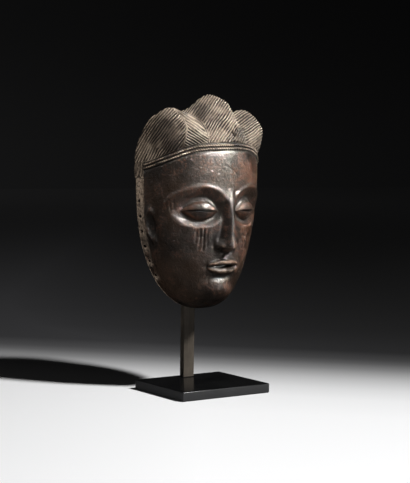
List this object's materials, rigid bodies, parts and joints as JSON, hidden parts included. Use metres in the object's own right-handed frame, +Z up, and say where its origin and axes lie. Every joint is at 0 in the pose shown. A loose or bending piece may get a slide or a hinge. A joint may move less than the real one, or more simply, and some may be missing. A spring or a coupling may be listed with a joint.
{
  "type": "carved wooden face mask on display stand",
  "caption": "Hollow carved wooden face mask of the Chokwe mwana pwo type, with three lobes of hair and a headband, held by a bent steel bar on a rectangular steel base plate.",
  "frame": {"origin": "centre of the base plate's underside", "axes": "+Z up, the mask's face looks along -Y, +X to the right of someone who looks at the face"},
  "size_m": [0.139, 0.0972, 0.3038],
  "materials": {
    "carved_wood": "dark polished patina, worn to red-brown on the raised places, dusty hair",
    "bar_steel": "dark bronzed satin",
    "plate_steel": "black, glossy on top"
  },
  "bodies": {
    "root": {"mask": "carved_wood", "stand_post": "bar_steel", "stand_base": "plate_steel"}
  },
  "joints": []
}
